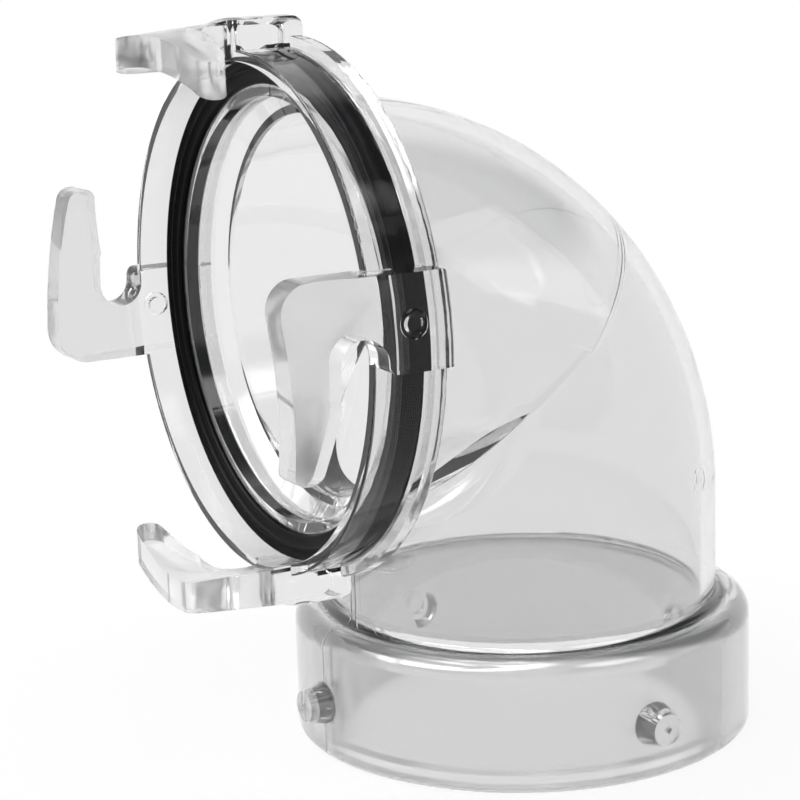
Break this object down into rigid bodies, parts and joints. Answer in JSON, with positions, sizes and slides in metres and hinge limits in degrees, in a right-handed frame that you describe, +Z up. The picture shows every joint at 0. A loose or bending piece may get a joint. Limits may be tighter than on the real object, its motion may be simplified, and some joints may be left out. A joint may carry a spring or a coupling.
{
  "type": "sewer hose elbow adapter",
  "caption": "Clear right-angle adapter for a waste hose, with a swivelling bayonet hook ring and seal at the inlet and a lug collar at the outlet.",
  "frame": {"origin": "centre of the outlet collar's bottom face, on the outlet axis", "axes": "+Z up along the outlet leg, -X out of the inlet along the bayonet ring's axis, +Y to the far side as pictured"},
  "size_m": [0.1456, 0.1238, 0.1634],
  "materials": {
    "clear_elbow": "clear polished polycarbonate",
    "clear_collar": "clear polished polycarbonate",
    "clear_ring": "clear polished polycarbonate",
    "black_rubber": "matt moulded rubber"
  },
  "bodies": {
    "elbow": {"elbow_body": "clear_elbow", "lug_collar": "clear_collar"},
    "swivel_ring": {"bayonet_ring": "clear_ring", "gasket": "black_rubber"}
  },
  "joints": [
    {"name": "ring_swivel", "type": "hinge", "parent": "elbow", "child": "swivel_ring", "pos_m": [-0.0673, 0, 0.1015], "axis": [1, 0, 0], "continuous": true}
  ]
}
